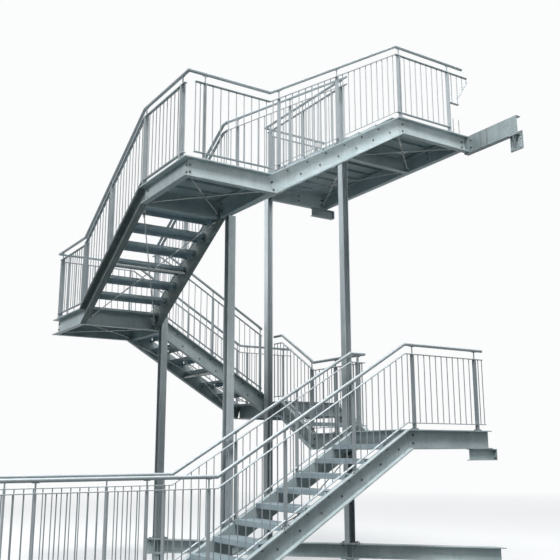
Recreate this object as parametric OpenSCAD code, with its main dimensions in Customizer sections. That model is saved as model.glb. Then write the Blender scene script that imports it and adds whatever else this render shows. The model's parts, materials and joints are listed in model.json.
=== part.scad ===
// Outside fire escape stair of galvanised steel: five flights around an open well.
// Millimetres. X runs along the wall, Y into the wall, Z up, ground at zero.

/* [Steps] */
// Height of one riser
riser = 179; // [165:1:190]
// Going of one step, nosing to nosing
going = 300; // [270:1:320]
// Risers of the bottom flight
risers_1 = 9; // [6:1:12]
// Risers of the short flight along the wall
risers_2 = 3; // [2:1:5]
// Risers of the left flight
risers_3 = 7; // [5:1:9]
// Risers of the front flight
risers_4 = 7; // [5:1:9]
// Risers of the top flight
risers_5 = 7; // [5:1:9]
// Overall depth of one tread
tread_d = 302; // [275:1:325]
// Sheet thickness of treads and decks
sheet_t = 4; // [3:0.5:6]
// Height of the folded front of a tread
tread_nose = 62; // [40:1:80]
// Height of the folded back of a tread
tread_back = 40; // [25:1:60]

/* [Plan] */
// Width of a flight over both stringers
stair_w = 1210; // [1100:5:1400]
// Front face to the first nosing of the top flight
landing_d = 1400; // [1360:5:1550]
// Width of the left corner landing
landing_3_w = 1330; // [1280:5:1500]
// Length of the left landing on the wall
landing_2_l = 1600; // [1500:10:2200]
// Distance of a landing's edge beam behind the first nosing
set_back = 170; // [120:5:220]
// Shift of the bottom flight to the right
flight_1_shift = 130; // [60:5:200]
// Distance of the bottom flight's head in front of the top platform
head_set = 140; // [60:5:200]
// Platform length to the left of the top flight
platform_l = 3550; // [3450:10:4200]
// Length of the level walkway at the bottom
walk_l = 3300; // [2000:10:6600]
// Height of the walkway deck above the ground
walk_h = 490; // [400:5:900]
// Gap between the landings and the wall
wall_gap = 160; // [120:5:240]

/* [Steel sections] */
// Channel depth of stringers and edge beams
ch_h = 240; // [180:5:260]
// Channel flange width
ch_b = 85; // [70:1:95]
// Channel web thickness
ch_w = 9.5; // [7:0.5:14]
// Channel flange thickness
ch_t = 13; // [9:0.5:16]
// Post depth and width
post_b = 104; // [90:2:120]
// Post flange thickness
post_t = 8; // [6:0.5:14]
// Post web thickness
post_w = 6; // [5:0.5:10]
// Foot plate side
foot_b = 240; // [200:5:300]
// Foot and cap plate thickness
foot_t = 18; // [12:1:25]
// Anchor hole spacing in a foot plate
anchor_s = 180; // [150:5:240]
// Anchor hole diameter
anchor_d = 18; // [12:1:24]
// Base beam depth
beam_h = 180; // [140:5:240]
// Base beam flange width
beam_b = 150; // [120:5:200]
// Top of the base beam above the ground
beam_top = 600; // [450:5:800]

/* [Railing] */
// Height of the handrail's top above deck and nosings
rail_h = 1100; // [950:5:1200]
// Handrail tube diameter
hand_d = 42.4; // [33:0.1:50]
// Gap from handrail centre down to the top rail
hand_gap = 122; // [90:1:160]
// Height of the bottom rail above the deck
low_h = 80; // [55:1:100]
// Width of the flat rails
flat_b = 40; // [30:1:50]
// Thickness of the flat rails
flat_t = 9; // [6:0.5:12]
// Baluster diameter
bal_d = 12; // [10:0.5:16]
// Largest baluster spacing
bal_s = 110; // [90:1:140]
// Gap of a panel at an outer corner
corner_gap = 85; // [40:5:110]
// Depth of a railing post
rp_b = 65; // [45:1:75]
// Thickness of a railing post
rp_t = 12; // [8:0.5:15]

/* [Bracing and wall] */
// Tie rod diameter
rod_d = 14; // [10:1:20]
// Cross tube diameter
tube_d = 48; // [38:1:56]
// Length of the wall beam beyond the platform
ledger_l = 905; // [500:5:1500]
// Depth of the wall beam
ledger_h = 260; // [200:5:300]
// Depth of the wall consoles
con_h = 150; // [120:5:180]
// Length of the wall consoles
con_l = 470; // [300:10:700]

/* [Hidden] */
slope = riser/going;
ang = atan(slope);
half_tan = tan(ang/2);
drop = 40;
k_low = (riser - drop)/slope;
k_top = drop/slope;
hand_c = rail_h - hand_d/2;
top_c = hand_c - hand_gap;
in_set = ch_b/2;
seat = 0.3;
// how far the welded members of one frame run into each other
lap = 1;
// usual bay of the walkway, and its first and last but one railing posts
bay_l = 1100;
walk_first = 150;
walk_last = 802;
// cut-away end of the upper right railing: uprights past the last post, level bar, sloping bar
cut_u = [65, 180, 290, 384];
cut_z = 476;
cut_lift = 109;
cut_drop = 56;
z_walk = walk_h;
z1 = z_walk + risers_1*riser;
z2 = z1 + risers_2*riser;
z3 = z2 + risers_3*riser;
z4 = z3 + risers_4*riser;
z5 = z4 + risers_5*riser;
// front to back lines
y5n = landing_d;
y4b = y5n - set_back;
y5 = y5n + (risers_5 - 1)*going;
yb = y5 + 120;
yw = yb + stair_w;
y_wall = yw + wall_gap;
y1 = y5 - head_set;
y1n = y1 - (risers_1 - 1)*going;
y0b = y1n - set_back;
y_end = y0b - walk_l;
y3n = yb - 130;
y3 = y3n - (risers_3 - 1)*going;
// right to left lines
xr1 = flight_1_shift;
xl1 = flight_1_shift - stair_w;
x4 = -(stair_w + 190);
x4n = x4 - (risers_4 - 1)*going;
x3e = x4n - set_back;
x_out = x3e - landing_3_w;
x3r = x_out + stair_w;
x2 = x_out + landing_2_l;
x2n = x2 + (risers_2 - 1)*going;
x1e = x2n + set_back;
x5 = -platform_l;
x5m = -(stair_w - 50);
ledger_r = ledger_l + 25;
wall_off = wall_gap - ch_b;
// post centres
p1 = [x3e + 5 + post_b/2, y4b + 10 + post_b/2];
p2 = [-(stair_w - 55), y4b + 10];
p3 = [x3r + 37 + post_b/2, y5 - 10 + post_b/2];
p4 = [-(stair_w + 125) + post_b/2, y5 - 10 + post_b/2];
tread_w = stair_w - 2*ch_b;
beam_a = atan2(p4[1] - p1[1], p4[0] - p1[0]);
ox = (x_out + ledger_r)/2;
oy = (y_end + y_wall)/2;
steel = [0.62, 0.66, 0.67];
rail_col = [0.70, 0.73, 0.74];
tread_col = [0.58, 0.62, 0.63];

// Level channel along +X from u0 to u1, flanges towards -Y, outer edge on y = 0.
// cut0 and cut1 slant an end along the mitre of a flight's kink.
module chan(u0, u1, zt, cut0 = 0, cut1 = 0) {
  pts = function(a, b) [[u0 + cut0*a, zt - a], [u1 + cut1*a, zt - a], [u1 + cut1*b, zt - b],
    [u0 + cut0*b, zt - b]];
  translate([0, ch_b, 0]) rotate([90, 0, 0]) linear_extrude(ch_w) polygon(pts(0, ch_h));
  translate([0, ch_b, 0]) rotate([90, 0, 0]) linear_extrude(ch_b) polygon(pts(0, ch_t));
  translate([0, ch_b, 0]) rotate([90, 0, 0]) linear_extrude(ch_b) polygon(pts(ch_h - ch_t, ch_h));
}

// Inclined stringer along +X, rising. Mitred at the kinks where m0 or m1 is 1, else cut upright.
module stringer(n1, nt, zb, zt, m0, m1, f0, f1) {
  k0 = n1 - k_low;
  k1 = nt + k_top;
  zl = function(u, a) zb + slope*(u - k0) - a/cos(ang);
  p0 = function(a) m0 == 1 ? [k0 + a*half_tan, zb - a] : [f0, zl(f0, a)];
  p1 = function(a) m1 == 1 ? [k1 + a*half_tan, zt - a] : [f1, zl(f1, a)];
  translate([0, ch_b, 0]) rotate([90, 0, 0]) linear_extrude(ch_w)
    polygon([p0(0), p1(0), p1(ch_h), p0(ch_h)]);
  translate([0, ch_b, 0]) rotate([90, 0, 0]) linear_extrude(ch_b)
    polygon([p0(0), p1(0), p1(ch_t), p0(ch_t)]);
  translate([0, ch_b, 0]) rotate([90, 0, 0]) linear_extrude(ch_b)
    polygon([p0(ch_h - ch_t), p1(ch_h - ch_t), p1(ch_h), p0(ch_h)]);
}

// Turns a part drawn along +X with its outer edge on y = 0.
module side_front(y) {
  translate([0, y, 0]) children();
}
module side_back(y) {
  translate([0, y, 0]) mirror([0, 1, 0]) children();
}
// Along +Y, outer edge towards +X.
module side_right(x) {
  translate([x, 0, 0]) rotate([0, 0, 90]) children();
}
// Along +Y, outer edge towards -X.
module side_left(x) {
  translate([x, 0, 0]) mirror([1, 0, 0]) rotate([0, 0, 90]) children();
}

// One folded deck tray.
module tray(x0, y0, x1, y1, z, lip = 34) {
  difference() {
    translate([x0, y0, z - lip]) cube([x1 - x0, y1 - y0, lip]);
    translate([x0 + sheet_t, y0 + sheet_t, z - lip - 1])
      cube([x1 - x0 - 2*sheet_t, y1 - y0 - 2*sheet_t, lip - sheet_t + 1]);
  }
}
// Trays in a row along X over a field between webs, with a bearing angle at front and back.
module deck(x0, y0, x1, y1, z, n) {
  w = (x1 - x0)/n;
  for (i = [0:n - 1]) tray(x0 + i*w + 2, y0 + 3, x0 + (i + 1)*w - 2, y1 - 3, z);
  for (y = [y0 - lap, y1 - 50]) translate([x0 - lap, y, z - 39])
    cube([x1 - x0 + 2*lap, 50 + lap, 5 + lap]);
  for (y = [y0 - lap, y1 - 5]) translate([x0 + 10, y, z - 84]) cube([x1 - x0 - 20, 5 + lap, 50]);
}

// One tread, front edge on y = 0, top at z = 0, between two webs.
module tread(w) {
  translate([0, 0, -sheet_t]) cube([w, tread_d, sheet_t]);
  translate([0, 0, -tread_nose]) cube([w, sheet_t, tread_nose]);
  translate([0, tread_d - sheet_t, -tread_back]) cube([w, sheet_t, tread_back]);
  translate([0, 20, -96]) cube([6, tread_d - 60, 95]);
  translate([w - 6, 20, -96]) cube([6, tread_d - 60, 95]);
}
module treads(n, w) {
  for (i = [1:n - 1]) translate([0, (i - 1)*going, i*riser]) tread(w);
}

// Upright H post with foot plate and cap plate.
module h_bar(h) {
  for (s = [-1, 1]) translate([-post_b/2, s*(post_b - post_t)/2 - post_t/2, 0]) cube([post_b, post_t, h]);
  translate([-post_w/2, -post_b/2, 0]) cube([post_w, post_b, h]);
}
module foot(b, s, turn = 0) {
  rotate([0, 0, turn]) difference() {
    translate([-b/2, -b/2, 0]) cube([b, b, foot_t]);
    for (i = [-1, 1], j = [-1, 1]) translate([i*s/2, j*s/2, -1]) cylinder(d = anchor_d, h = foot_t + 2, $fn = 32);
  }
}
module post(h, turn = 0, turn_foot = 0) {
  rotate([0, 0, turn]) h_bar(h - 1);
  foot(foot_b, anchor_s, turn_foot);
  translate([-post_b/2, -post_b/2, h - foot_t]) cube([post_b, post_b, foot_t]);
}

// One straight length of railing along +X, u from 0 to l, z from the string line at u = 0.
// c0 and c1 say what is at an end: the neighbour's slope at a kink, 9 an outer corner, -9 an
// inner one, 7 a free end with an upright, 8 a free end at a post. posts lists the post places.
module handrail(l, sl, c0, c1) {
  a = atan(sl);
  difference() {
    translate([0, 0, hand_c]) rotate([0, 90 - a, 0]) translate([0, 0, -60])
      cylinder(d = hand_d, h = l/cos(a) + 120, $fn = 48);
    rail_cut(0, 0, sl, c0, 1);
    rail_cut(l, l*sl, sl, c1, -1);
  }
}
module rail_cut(u, z, sl, c, dir) {
  tilt = abs(c) >= 7 ? 0 : (atan(sl) + atan(c))/2;
  turn = c == 9 ? -45 : c == -9 ? 45 : 0;
  translate([u, 0, z + hand_c]) rotate([0, -tilt, 0]) rotate([0, 0, dir*turn])
    translate([dir > 0 ? -400 : 0, -200, -200]) cube([400, 400, 400]);
}
module flat_rail(u0, u1, sl, zc, c0, c1) {
  e0 = u0 - (c0 == -9 ? flat_b/2 : 0);
  e1 = u1 + (c1 == -9 ? flat_b/2 : 0);
  v = flat_t/2/cos(atan(sl));
  difference() {
    translate([0, flat_b/2, 0]) rotate([90, 0, 0]) linear_extrude(flat_b)
      polygon([[e0, zc - v + e0*sl], [e1, zc - v + e1*sl], [e1, zc + v + e1*sl], [e0, zc + v + e0*sl]]);
    if (c0 == -9) rail_cut(u0, zc - hand_c, 0, c0, 1);
    if (c1 == -9) rail_cut(u1, zc - hand_c + u1*sl, 0, c1, -1);
  }
}
module upright(u, z0, z1) {
  translate([u, 0, z0]) cylinder(d = bal_d, h = z1 - z0, $fn = 16);
}
// Balusters between two marks; an end that is a kink or an inner corner counts as half a step.
module balusters(a, b, oa, ob, sl) {
  n = max(0, ceil((b - a)/bal_s - oa - ob + 1));
  s = (b - a)/(oa + ob + n - 1);
  for (j = [0:1:n - 1]) upright(a + s*(oa + j), low_h + sl*(a + s*(oa + j)), top_c + sl*(a + s*(oa + j)));
}
module rail(l, sl = 0, c0 = 7, c1 = 7, posts = [], lift = 0, hand = 0, top = 0) {
  u0 = c0 == 9 ? corner_gap : 0;
  u1 = l - (c1 == 9 ? corner_gap : 0);
  free0 = c0 == 7 || c0 == 9;
  free1 = c1 == 7 || c1 == 9;
  m0 = u0 + (free0 ? bal_d/2 : 0);
  m1 = u1 - (free1 ? bal_d/2 : 0);
  marks = concat([m0], posts, c1 == 8 ? [] : [m1]);
  n = len(marks);
  translate([0, 0, lift]) {
    handrail(l + hand, sl, c0, c1);
    flat_rail(u0, u1 + top, sl, top_c, c0, c1);
    flat_rail(u0, u1, sl, low_h, c0, c1);
    for (i = [0:1:n - 2]) balusters(marks[i], marks[i + 1], i > 0 || free0 ? 1 : 0.5,
      i < n - 2 || free1 || c1 == 8 ? 1 : 0.5, sl);
    if (free0) upright(m0, low_h + sl*m0, top_c + sl*m0);
    if (free1) upright(m1, low_h + sl*m1, top_c + sl*m1);
  }
  for (p = posts) rail_post(p, sl, lift);
}
module rail_post(p, sl, lift) {
  g = function(u) sl*u - seat;
  q = 8/cos(atan(sl));
  translate([0, rp_b/2, 0]) rotate([90, 0, 0]) linear_extrude(rp_b)
    polygon([[p - rp_t/2, g(p - rp_t/2)], [p + rp_t/2, g(p + rp_t/2)],
      [p + rp_t/2, top_c + sl*p + lift], [p - rp_t/2, top_c + sl*p + lift]]);
  translate([0, 38, 0]) rotate([90, 0, 0]) linear_extrude(76)
    polygon([[p - 40, g(p - 40)], [p + 40, g(p + 40)], [p + 40, g(p + 40) + q], [p - 40, g(p - 40) + q]]);
  translate([p, 0, top_c + sl*p + lift]) cylinder(d = 18, h = hand_gap, $fn = 24);
}

// Moves the stair so that the middle of its plan is the origin.
module place() {
  translate([-ox, -oy, 0]) children();
}
// Sides of a part drawn rising towards -X or -Y.
module back_x() {
  mirror([1, 0, 0]) children();
}
module back_y() {
  mirror([0, 1, 0]) children();
}
// Mitre of a frame's corner; both beams run on past it by the lap, into each other.
module corner_cut(u, dir, c) {
  translate([u, 0, 0]) rotate([0, 0, (c == 9 ? -45 : 45)*dir])
    translate([dir > 0 ? -500 - lap : lap, -500, -1000]) cube([500, 1000, 12000]);
}
// Level edge beam; ends 0 plain, 1 kink of a flight, 9 outer corner, -9 inner corner.
module beam(u0, u1, zt, a0 = 0, a1 = 0) {
  difference() {
    chan(u0 - (a0 == -9 ? ch_b : 0), u1 + (a1 == -9 ? ch_b : 0), zt,
      a0 == 1 ? half_tan : 0, a1 == 1 ? half_tan : 0);
    if (abs(a0) == 9) corner_cut(u0, 1, a0);
    if (abs(a1) == 9) corner_cut(u1, -1, a1);
  }
}
module rod(a, b, d = rod_d) {
  v = b - a;
  l = norm(v);
  translate(a) rotate([0, acos(v[2]/l), atan2(v[1], v[0])]) cylinder(d = d, h = l, $fn = 24);
}
// Four rods from corner points to a ring in the middle, tilted by t.
module cross(p, t = [0, 0, 0]) {
  c = (p[0] + p[1] + p[2] + p[3])/4;
  for (i = [0:3]) rod(p[i], c + (p[i] - c)/norm(p[i] - c)*44);
  translate(c) rotate(t) difference() {
    translate([0, 0, -10]) cylinder(d = 100, h = 20, $fn = 48);
    translate([0, 0, -11]) cylinder(d = 78, h = 22, $fn = 48);
  }
}
module level_cross(x0, y0, x1, y1, z) {
  cross([[x0, y0, z], [x1, y0, z], [x1, y1, z], [x0, y1, z]]);
}
// Height of the rod plane under a flight.
rod_a = ch_h - 26;
module post_1() {
  color(steel) place() {
    translate([p1[0], p1[1], beam_top]) post(z3 - 50 - beam_top, 90, beam_a);
  }
}
module post_2() {
  color(steel) place() translate([p2[0], p2[1], 0]) post(z4 - ch_h, 90);
}
module post_3() {
  color(steel) place() translate([p3[0], p3[1], 0]) post(z5 - ch_h, 0);
}
module post_4() {
  color(steel) place() translate([p4[0], p4[1], beam_top]) post(z5 - ch_h - beam_top, 0, beam_a);
}
module base_beam() {
  a = beam_a;
  l = norm(p4 - p1);
  far = (yw + 90 - p1[1])/sin(a);
  color(steel) place() {
    difference() {
      translate([p1[0], p1[1], beam_top - beam_h]) rotate([0, 0, a]) translate([-180, 0, 0]) {
        for (z = [0, beam_h - 11]) translate([0, -beam_b/2, z]) cube([far + 400, beam_b, 11]);
        translate([0, -4, 0]) cube([far + 400, 8, beam_h]);
        for (u = [180, 180 + l], s = [-40, 32]) translate([u + s, -beam_b/2 + 3, 1])
          cube([8, beam_b - 6, beam_h - 2]);
      }
      translate([-3000, yw + 90, 0]) cube([6000, 1000, 2000]);
    }
    for (p = [p1, p4]) translate([p[0], p[1], 0]) {
      foot(foot_b, anchor_s);
      rotate([0, 0, a]) h_bar(beam_top - beam_h - 1);
      rotate([0, 0, a]) translate([-foot_b/2, -beam_b/2, beam_top - beam_h - foot_t])
        cube([foot_b, beam_b, foot_t + lap]);
    }
  }
}
module walkway() {
  n = max(1, round(walk_l/bay_l));
  bay = (walk_l - 200)/n;
  color(steel) place() {
    side_right(xr1) beam(y_end, y1n - k_low, z_walk, 9, 1);
    side_left(xl1) beam(y_end, y1n - k_low, z_walk, 9, 1);
    side_front(y_end) beam(xl1, xr1, z_walk, 9, 9);
    side_back(y0b) beam(xl1 + ch_b, xr1 - ch_b, z_walk);
    for (i = [1:n - 1]) side_front(y_end + 100 + i*bay) beam(xl1 + ch_b, xr1 - ch_b, z_walk - sheet_t + lap);
    deck(xl1 + ch_b, y_end + ch_b, xr1 - ch_b, y0b - ch_b, z_walk, 4);
    tray(xl1 + ch_b, y0b - ch_b + 1, xr1 - ch_b, y1n, z_walk);
    for (i = [0:n], x = [xl1 + 70, xr1 - 70]) translate([x, y_end + 100 + i*bay, 0]) {
      foot(foot_b - 40, anchor_s - 40);
      rotate([0, 0, 90]) h_bar(z_walk - ch_h);
    }
  }
}
module flight_1_stringers() {
  color(steel) place() {
    side_right(xr1) stringer(y1n, y1, z_walk, z1, 1, 1, 0, 0);
    side_left(xl1) stringer(y1n, y1, z_walk, z1, 1, 1, 0, 0);
  }
}
module flight_2_stringers() {
  color(steel) place() back_x() {
    side_front(yb) stringer(-x2n, -x2, z1, z2, 1, 1, 0, 0);
    side_back(yw) stringer(-x2n, -x2, z1, z2, 1, 1, 0, 0);
  }
}
module flight_3_stringers() {
  color(steel) place() back_y() {
    side_left(x_out) stringer(-y3n, -y3, z2, z3, 1, 1, 0, 0);
    side_right(x3r) stringer(-y3n, -y3, z2, z3, 0, 0, -yb, -y3);
  }
}
module flight_4_stringers() {
  color(steel) place() {
    side_front(0) stringer(x4n, x4, z3, z4, 1, 1, 0, 0);
    side_back(y4b) stringer(x4n, x4, z3, z4, 0, 1, x3e, x4);
  }
}
module flight_5_stringers() {
  color(steel) place() {
    side_right(0) stringer(y5n, y5, z4, z5, 1, 1, 0, 0);
    side_left(-stair_w) stringer(y5n, y5, z4, z5, 0, 0, y4b, y5);
  }
}
module flight_1_treads() {
  color(tread_col) place() translate([xl1 + ch_b, y1n, z_walk]) treads(risers_1, tread_w);
}
module flight_2_treads() {
  color(tread_col) place() translate([x2n, yb + ch_b, z1]) rotate([0, 0, 90]) treads(risers_2, tread_w);
}
module flight_3_treads() {
  color(tread_col) place() translate([x3r - ch_b, y3n, z2]) rotate([0, 0, 180]) treads(risers_3, tread_w);
}
module flight_4_treads() {
  color(tread_col) place() translate([x4n, y4b - ch_b, z3]) rotate([0, 0, -90]) treads(risers_4, y4b - 2*ch_b);
}
module flight_5_treads() {
  color(tread_col) place() translate([-stair_w + ch_b, y5n, z4]) treads(risers_5, tread_w);
}
module landing_1() {
  color(steel) place() {
    side_right(xr1) beam(y1 + k_top, yw + wall_off, z1, 1, 0);
    back_x() side_back(yw) beam(ch_b - xr1, -x2n - k_low, z1, 0, 1);
    back_x() side_front(yb) beam(-xl1, -x2n - k_low, z1, -9, 1);
    side_left(xl1) beam(y1 + k_top, yb, z1, 1, -9);
    side_front(y1) beam(xl1 + ch_b, xr1 - ch_b, z1);
    side_left(x1e) beam(yb + ch_b, yw - ch_b, z1);
    deck(xl1 + ch_b, y1 + ch_b, xr1 - ch_b, yw - ch_b, z1, 4);
    deck(x1e + ch_b, yb + ch_b, xl1 + ch_b, yw - ch_b, z1, 4);
    tray(x2n, yb + ch_b, x1e + ch_b - 1, yw - ch_b, z1);
  }
}
module landing_2() {
  color(steel) place() {
    back_x() side_front(yb) beam(-x2 + k_top, -x_out - ch_b, z2, 1, 0);
    back_x() side_back(yw) beam(-x2 + k_top, -x_out, z2, 1, 9);
    side_left(x_out) beam(y3n + k_low, yw, z2, 0, 9);
    side_right(x2) beam(yb + ch_b, yw - ch_b, z2);
    deck(x_out + ch_b, yb + ch_b, x2 - ch_b, yw - ch_b, z2, 6);
    tray(x_out + ch_b, y3n, x3r - ch_b, yb + ch_b - 1, z2);
  }
}
module landing_3() {
  color(steel) place() {
    side_front(0) beam(x_out, x4n - k_low, z3, 9, 1);
    back_y() side_left(x_out) beam(-y3 + k_top, 0, z3, 1, 9);
    side_right(x3e) beam(ch_b, y3, z3, 0, 9);
    side_back(y3) beam(x_out + ch_b, x3e, z3, 0, 9);
    deck(x_out + ch_b, ch_b, x3e - ch_b, y3 - ch_b, z3, 4);
    tray(x3e - ch_b + 1, ch_b, x4n, y4b - ch_b, z3);
  }
}
module landing_4() {
  color(steel) place() {
    side_front(0) beam(x4 + k_top, 0, z4, 1, 9);
    side_right(0) beam(0, y5n - k_low, z4, 9, 1);
    side_left(x4) beam(ch_b, y4b - ch_b, z4);
    side_back(y4b) beam(x4 + k_top, -ch_b, z4, 1, 0);
    deck(x4 + ch_b, ch_b, -ch_b, y4b - ch_b, z4, 4);
    tray(-stair_w + ch_b, y4b - ch_b + 1, -ch_b, y5n, z4);
  }
}
module landing_5() {
  color(steel) place() {
    side_right(0) beam(y5 + k_top, yw + wall_off, z5, 1, 0);
    side_front(y5) beam(x5, -ch_b, z5, 9, 0);
    side_left(x5) beam(y5, yw, z5, 9, 9);
    side_back(yw) beam(x5, -ch_b, z5, 9, 0);
    side_right(x5m) beam(y5 + ch_b, yw - ch_b, z5 - sheet_t + lap);
    deck(x5 + ch_b, y5 + ch_b, -ch_b, yw - ch_b, z5, 12);
  }
}
// Crossed rods and a tube under a flight drawn along +X, web faces on y = 0 and y = w.
// The tube lies between the brackets of two treads; e is the rods' reach past the last nosing.
module flight_brace(n1, nt, zb, w, e) {
  z = function(u) zb + slope*(u - n1 + k_low) - rod_a/cos(ang);
  m = n1 + round((nt - n1)/going/2)*going + (tread_d - going - 20)/2;
  a = n1 - 110;
  b = nt + e;
  rod([m, 0, z(m) + (tube_d + rod_d)/2 - 1], [m, w, z(m) + (tube_d + rod_d)/2 - 1], tube_d);
  rod([a, 0, z(a)], [b, w, z(b)]);
  rod([a, w, z(a)], [b, 0, z(b)]);
}
module bracing() {
  color(rail_col) place() {
    level_cross(x5 + ch_b, y5 + ch_b, x5m - ch_b, yw - ch_b, z5 - 200);
    level_cross(x5m, y5 + ch_b, -ch_b, yw - ch_b, z5 - 200);
    level_cross(x4 + ch_b, ch_b, -ch_b, y4b - ch_b, z4 - 200);
    level_cross(x_out + ch_b, ch_b, x3e - ch_b, y3 - ch_b, z3 - 200);
    level_cross(x_out + ch_b, yb + ch_b, x2 - ch_b, yw - ch_b, z2 - 200);
    level_cross(x1e + ch_b, yb + ch_b, xr1 - ch_b, yw - ch_b, z1 - 200);
    translate([0, y4b - ch_b, 0]) mirror([0, 1, 0]) flight_brace(x4n, x4, z3, y4b - 2*ch_b, 30);
    translate([-stair_w + ch_b, 0, 0]) mirror([1, 0, 0]) rotate([0, 0, 90])
      flight_brace(y5n, y5, z4, tread_w, -30);
    back_y() translate([x3r - ch_b, 0, 0]) rotate([0, 0, 90]) flight_brace(-y3n, -y3, z2, tread_w, -30);
    translate([xr1 - ch_b, 0, 0]) rotate([0, 0, 90]) flight_brace(y1n, y1, z_walk, tread_w, 30);
  }
}
module i_beam(l, h, b) {
  for (z = [0, h - 9]) translate([-b/2, 0, z]) cube([b, l, 9]);
  translate([-3, 0, 0]) cube([6, l, h]);
}
module wall_supports() {
  xc = ledger_l - 80;
  zl = z5 - ledger_h;
  color(steel) place() {
    translate([-90, yw + wall_off, zl]) cube([90 + ledger_l, 10, ledger_h]);
    for (z = [zl, z5 - 14]) translate([-90, yw + wall_off, z]) cube([90 + ledger_l, ch_b, 14]);
    translate([xc - 105, y_wall - 20, zl - 220]) cube([210, 20, 260]);
    translate([xc - 75, yw + wall_off, zl - 14]) cube([150, ch_b - 1, 14]);
    translate([xc - 5, y_wall - 19, zl - 1]) rotate([90, 0, -90]) linear_extrude(10, center = true)
      polygon([[0, 0], [ch_b - 24, 0], [ch_b - 24, -40], [0, -190]]);
    for (p = [[xr1 - 60, z1], [x5 + 60, z5]]) {
      translate([p[0], y_wall - con_l, p[1] - ch_h - con_h]) i_beam(con_l, con_h, 90);
      difference() {
        translate([p[0] - 55, y_wall - 12, p[1] - ch_h - con_h]) cube([110, 12, con_h]);
        for (x = [-35, 35], z = [30, con_h - 30])
          translate([p[0] + x, y_wall - 13, p[1] - ch_h - con_h + z]) rotate([-90, 0, 0])
            cylinder(d = anchor_d, h = 14, $fn = 32);
      }
    }
  }
}
walk_rail_l = y1n - k_low - y_end - in_set;
walk_span = walk_rail_l - walk_first - walk_last;
walk_n = max(1, round(walk_span/bay_l));
walk_posts = [for (i = [0:walk_n]) walk_first + i*walk_span/walk_n];
module walkway_rail_right() {
  color(rail_col) place() side_right(xr1) translate([y_end + in_set, in_set, z_walk])
    rail(walk_rail_l, 0, 7, slope, concat(walk_posts, [walk_rail_l - 100]));
}
module walkway_rail_left() {
  color(rail_col) place() side_left(xl1) translate([y_end + in_set, in_set, z_walk])
    rail(walk_rail_l, 0, 7, slope, concat(walk_posts, [walk_rail_l - 100]));
}
module flight_1_rail_right() {
  l = risers_1*going;
  color(rail_col) place() side_right(xr1) translate([y1n - k_low, in_set, z_walk])
    rail(l, slope, 0, 0, [0.32*l, 0.685*l]);
}
module flight_1_rail_left() {
  l = risers_1*going;
  color(rail_col) place() side_left(xl1) translate([y1n - k_low, in_set, z_walk])
    rail(l, slope, 0, 0, [0.32*l, 0.66*l]);
}
module landing_1_rail_right() {
  l = yw - y1 - k_top;
  color(rail_col) place() side_right(xr1) translate([y1 + k_top, in_set, z1])
    rail(l, 0, slope, 7, [125, l - 150]);
}
module landing_1_rail_front() {
  l = xl1 + in_set - x2n - k_low;
  color(rail_col) place() {
    side_left(xl1) translate([y1 + k_top, in_set, z1])
      rail(yb - y1 - k_top + in_set, 0, slope, -9, [110]);
    side_front(yb) translate([x2n + k_low, in_set, z1]) rail(l - 1, 0, -slope, -9, [560, l - 130]);
  }
}
module flight_2_rail() {
  l = risers_2*going;
  color(rail_col) place() back_x() side_front(yb) {
    translate([-x2n - k_low, in_set, z1]) rail(l, slope, 0, 0, [50]);
    translate([k_top - x2, in_set, z2]) rail(x2 - k_top - p3[0], 0, slope, 7);
  }
}
module landing_2_rail_end() {
  l = yw - y3n - k_low;
  color(rail_col) place() side_left(x_out) translate([y3n + k_low, in_set, z2])
    rail(l, 0, -slope, 7, [150, l - 180]);
}
module flight_3_rail_outer() {
  l = risers_3*going;
  color(rail_col) place() back_y() side_left(x_out) translate([-y3n - k_low, in_set, z2])
    rail(l, slope, 0, 0, [60, 0.5*l]);
}
module flight_3_rail_inner() {
  l = (risers_3 - 1)*going + k_top;
  color(rail_col) place() back_y() side_right(x3r) {
    translate([-y3n, in_set, z2 + slope*k_low]) rail(l, slope, 8, 0, [30, 0.5*l]);
    translate([k_top - y3, in_set, z3]) rail(y3 - k_top - y4b + in_set, 0, slope, -9, [50]);
  }
}
module landing_3_rail_end() {
  l = y3 - k_top - in_set;
  color(rail_col) place() side_left(x_out) translate([in_set, in_set, z3])
    rail(l, 0, 9, -slope, [170, l - 60]);
}
module landing_3_rail_front() {
  l = x4n - k_low - x_out - in_set;
  color(rail_col) place() side_front(0) translate([x_out + in_set, in_set, z3])
    rail(l, 0, 9, slope, [170]);
}
module flight_4_rail_outer() {
  l = risers_4*going;
  color(rail_col) place() side_front(0) translate([x4n - k_low, in_set, z3])
    rail(l, slope, 0, 0, [60, 0.49*l]);
}
module flight_4_rail_inner() {
  l = risers_4*going;
  x = x4 + k_top;
  up = slope*(y4b - y5n + k_low + k_top - 2*in_set);
  color(rail_col) place() side_back(y4b) {
    translate([x3r - in_set, in_set, z3]) rail(x4n - k_low - x3r + in_set, 0, -9, slope);
    translate([x4n - k_low, in_set, z3]) rail(l + up/slope, slope, 0, 0, [60, 0.49*l]);
    translate([x + up/slope, in_set, z4]) rail(-stair_w + in_set - x - up/slope, 0, slope, -9, [], up);
  }
}
module landing_4_rail_front() {
  l = -x4 - k_top - in_set;
  color(rail_col) place() side_front(0) translate([x4 + k_top, in_set, z4])
    rail(l, 0, slope, 9, [60, l - 165]);
}
module landing_4_rail_right() {
  l = y5n - k_low - in_set;
  color(rail_col) place() side_right(0) translate([in_set, in_set, z4]) rail(l, 0, 9, slope, [215]);
}
module flight_5_rail_right() {
  l = risers_5*going;
  color(rail_col) place() side_right(0) translate([y5n - k_low, in_set, z4])
    rail(l, slope, 0, 0, [133, 0.5*l]);
}
module flight_5_rail_inner() {
  a = y4b - in_set - y5n + k_low;
  l = risers_5*going - a - k_top + in_set;
  color(rail_col) place() side_left(-stair_w) translate([y5n - k_low + a, in_set, z4 + slope*a])
    rail(l, slope, -9, -9, [160, 0.5*l], slope*(k_top - in_set));
}
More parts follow.
